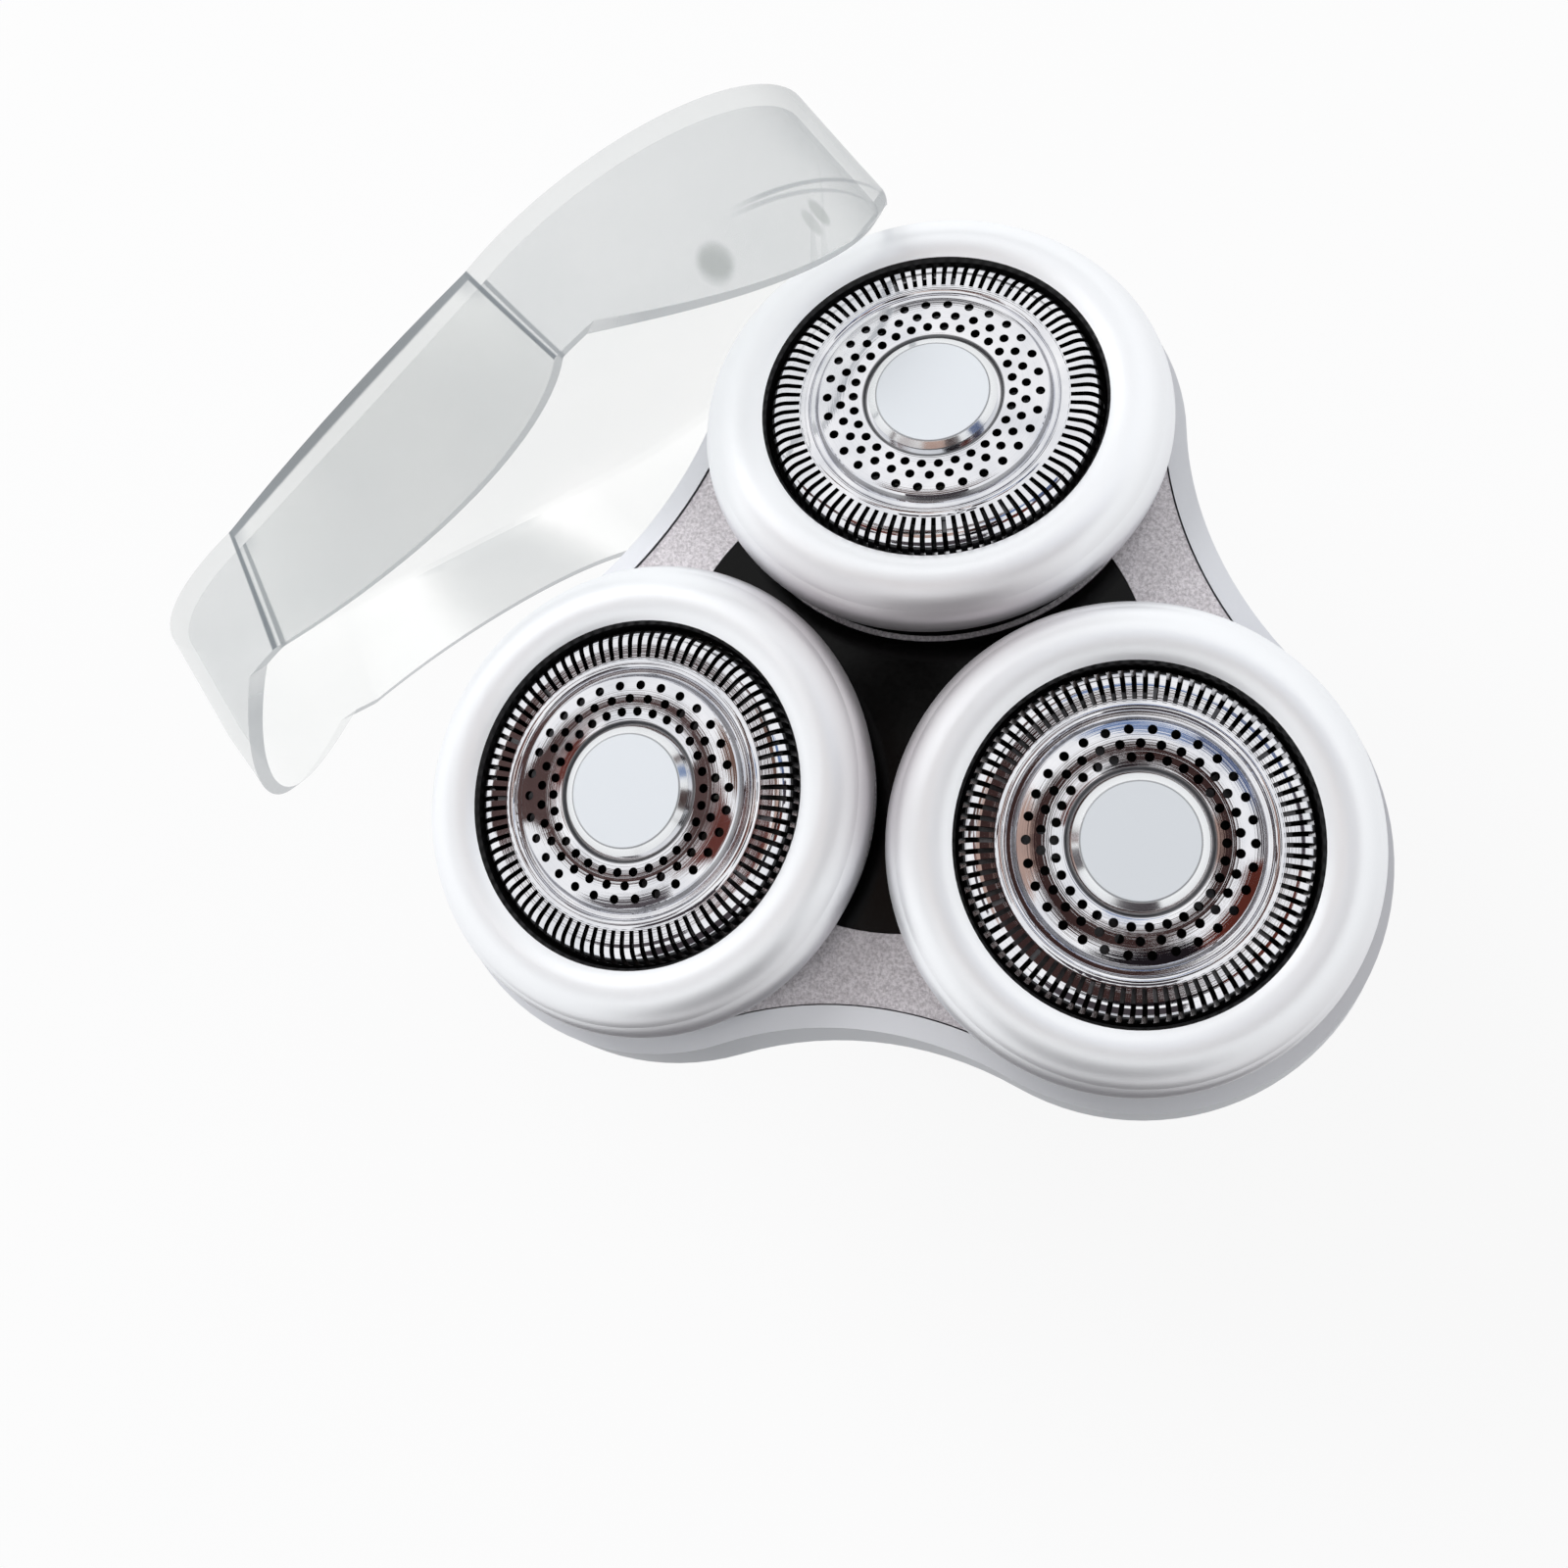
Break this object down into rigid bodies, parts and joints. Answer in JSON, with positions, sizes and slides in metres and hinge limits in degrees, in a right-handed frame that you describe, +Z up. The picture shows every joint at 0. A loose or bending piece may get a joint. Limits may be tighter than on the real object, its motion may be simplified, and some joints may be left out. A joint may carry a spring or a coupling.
{
  "type": "rotary shaver head",
  "caption": "Rotary shaver head with round cutters in floating, tilting rings on a trefoil housing, a coupling neck below, and its translucent cap taken off beside it.",
  "frame": {"origin": "centre of the coupling neck's open end, on the surface it stands on", "axes": "+Z up through the drive shaft, towards the shaving faces; +Y towards one of the ring heads"},
  "size_m": [0.0902, 0.07, 0.0657],
  "materials": {
    "satin_grey_plastic": "fine-grained satin",
    "silver_ring_plastic": "satin pearl silver",
    "black_gloss": "gloss black",
    "black_plastic": "moulded black",
    "inner_plastic": "natural acetal",
    "guard_steel": "polished steel",
    "disc_silver": "silver with a bevelled edge",
    "cutter_steel": "ground steel",
    "shaft_steel": "turned steel",
    "screw_steel": "plated steel",
    "spring_steel": "spring wire",
    "bush_bronze": "sintered bronze",
    "seal_rubber": "matt rubber",
    "cap_plastic": "frosted translucent plastic"
  },
  "bodies": {
    "head_body": {"head_housing": "satin_grey_plastic", "top_frame": "satin_grey_plastic", "centre_cover": "black_gloss", "gear_plate": "black_plastic", "gear_cover": "black_plastic", "neck_housing": "satin_grey_plastic", "coupling_collar": "black_plastic", "neck_gasket": "seal_rubber", "upper_bush": "bush_bronze", "lower_bush": "bush_bronze", "chassis_screws": "screw_steel", "neck_screws": "screw_steel", "spindle_seal_top": "seal_rubber", "spindle_seal_left": "seal_rubber", "spindle_seal_right": "seal_rubber", "protective_cap": "cap_plastic"},
    "drive": {"drive_shaft": "shaft_steel", "central_gear": "inner_plastic", "drive_socket": "black_plastic"},
    "ring_head_top": {"ring_top": "silver_ring_plastic", "chamber_top": "black_plastic"},
    "guard_unit_top": {"guard_top": "guard_steel", "guard_disc_top": "disc_silver"},
    "cutter_unit_top": {"cutter_top": "cutter_steel", "cutter_hub_top": "inner_plastic"},
    "gear_unit_top": {"driven_gear_top": "inner_plastic"},
    "plunger_top": {"spindle_top": "inner_plastic", "spindle_spring_top": "spring_steel"},
    "ring_head_left": {"ring_left": "silver_ring_plastic", "chamber_left": "black_plastic"},
    "guard_unit_left": {"guard_left": "guard_steel", "guard_disc_left": "disc_silver"},
    "cutter_unit_left": {"cutter_left": "cutter_steel", "cutter_hub_left": "inner_plastic"},
    "gear_unit_left": {"driven_gear_left": "inner_plastic"},
    "plunger_left": {"spindle_left": "inner_plastic", "spindle_spring_left": "spring_steel"},
    "ring_head_right": {"ring_right": "silver_ring_plastic", "chamber_right": "black_plastic"},
    "guard_unit_right": {"guard_right": "guard_steel", "guard_disc_right": "disc_silver"},
    "cutter_unit_right": {"cutter_right": "cutter_steel", "cutter_hub_right": "inner_plastic"},
    "gear_unit_right": {"driven_gear_right": "inner_plastic"},
    "plunger_right": {"spindle_right": "inner_plastic", "spindle_spring_right": "spring_steel"}
  },
  "joints": [
    {"name": "drive_spin", "type": "hinge", "parent": "head_body", "child": "drive", "pos_m": [0, 0, 0.039], "axis": [0, 0, 1], "continuous": true},
    {"name": "tilt_top", "type": "hinge", "parent": "head_body", "child": "ring_head_top", "pos_m": [0, 0.01723, 0.0475], "axis": [-1, 0, 0], "range_deg": [-4, 5], "stiffness_Nm_per_rad": 0.05},
    {"name": "float_top", "type": "slide", "parent": "ring_head_top", "child": "guard_unit_top", "axis": [0, 0.1702, 0.9854], "range_m": [-0.001, 0], "stiffness_N_per_m": 400, "springref_m": 0.0005},
    {"name": "cut_top", "type": "hinge", "parent": "guard_unit_top", "child": "cutter_unit_top", "pos_m": [0, 0.01723, 0.0475], "axis": [0, 0.1702, 0.9854], "continuous": true},
    {"name": "gear_top", "type": "hinge", "parent": "head_body", "child": "gear_unit_top", "pos_m": [0, 0.01723, 0.039], "axis": [0, 0, 1], "continuous": true},
    {"name": "plunge_top", "type": "slide", "parent": "gear_unit_top", "child": "plunger_top", "axis": [0, 0, 1], "range_m": [-0.001, 0], "deforming": ["spindle_spring_top"]},
    {"name": "tilt_left", "type": "hinge", "parent": "head_body", "child": "ring_head_left", "pos_m": [-0.01492, -0.00861, 0.0475], "axis": [0.5, -0.866, 0], "range_deg": [-4, 5], "stiffness_Nm_per_rad": 0.05},
    {"name": "float_left", "type": "slide", "parent": "ring_head_left", "child": "guard_unit_left", "axis": [-0.1474, -0.0851, 0.9854], "range_m": [-0.001, 0], "stiffness_N_per_m": 400, "springref_m": 0.0005},
    {"name": "cut_left", "type": "hinge", "parent": "guard_unit_left", "child": "cutter_unit_left", "pos_m": [-0.01492, -0.00861, 0.0475], "axis": [-0.1474, -0.0851, 0.9854], "continuous": true},
    {"name": "gear_left", "type": "hinge", "parent": "head_body", "child": "gear_unit_left", "pos_m": [-0.01492, -0.00861, 0.039], "axis": [0, 0, 1], "continuous": true},
    {"name": "plunge_left", "type": "slide", "parent": "gear_unit_left", "child": "plunger_left", "axis": [0, 0, 1], "range_m": [-0.001, 0], "deforming": ["spindle_spring_left"]},
    {"name": "tilt_right", "type": "hinge", "parent": "head_body", "child": "ring_head_right", "pos_m": [0.01492, -0.00861, 0.0475], "axis": [0.5, 0.866, 0], "range_deg": [-4, 5], "stiffness_Nm_per_rad": 0.05},
    {"name": "float_right", "type": "slide", "parent": "ring_head_right", "child": "guard_unit_right", "axis": [0.1474, -0.0851, 0.9854], "range_m": [-0.001, 0], "stiffness_N_per_m": 400, "springref_m": 0.0005},
    {"name": "cut_right", "type": "hinge", "parent": "guard_unit_right", "child": "cutter_unit_right", "pos_m": [0.01492, -0.00861, 0.0475], "axis": [0.1474, -0.0851, 0.9854], "continuous": true},
    {"name": "gear_right", "type": "hinge", "parent": "head_body", "child": "gear_unit_right", "pos_m": [0.01492, -0.00861, 0.039], "axis": [0, 0, 1], "continuous": true},
    {"name": "plunge_right", "type": "slide", "parent": "gear_unit_right", "child": "plunger_right", "axis": [0, 0, 1], "range_m": [-0.001, 0], "deforming": ["spindle_spring_right"]}
  ],
  "couplings": [
    {"joint": "cut_top", "follows": "drive_spin", "ratio": -1.9},
    {"joint": "gear_top", "follows": "drive_spin", "ratio": -1.9},
    {"joint": "plunge_top", "follows": "float_top", "ratio": 1},
    {"joint": "cut_left", "follows": "drive_spin", "ratio": -1.9},
    {"joint": "gear_left", "follows": "drive_spin", "ratio": -1.9},
    {"joint": "plunge_left", "follows": "float_left", "ratio": 1},
    {"joint": "cut_right", "follows": "drive_spin", "ratio": -1.9},
    {"joint": "gear_right", "follows": "drive_spin", "ratio": -1.9},
    {"joint": "plunge_right", "follows": "float_right", "ratio": 1}
  ]
}
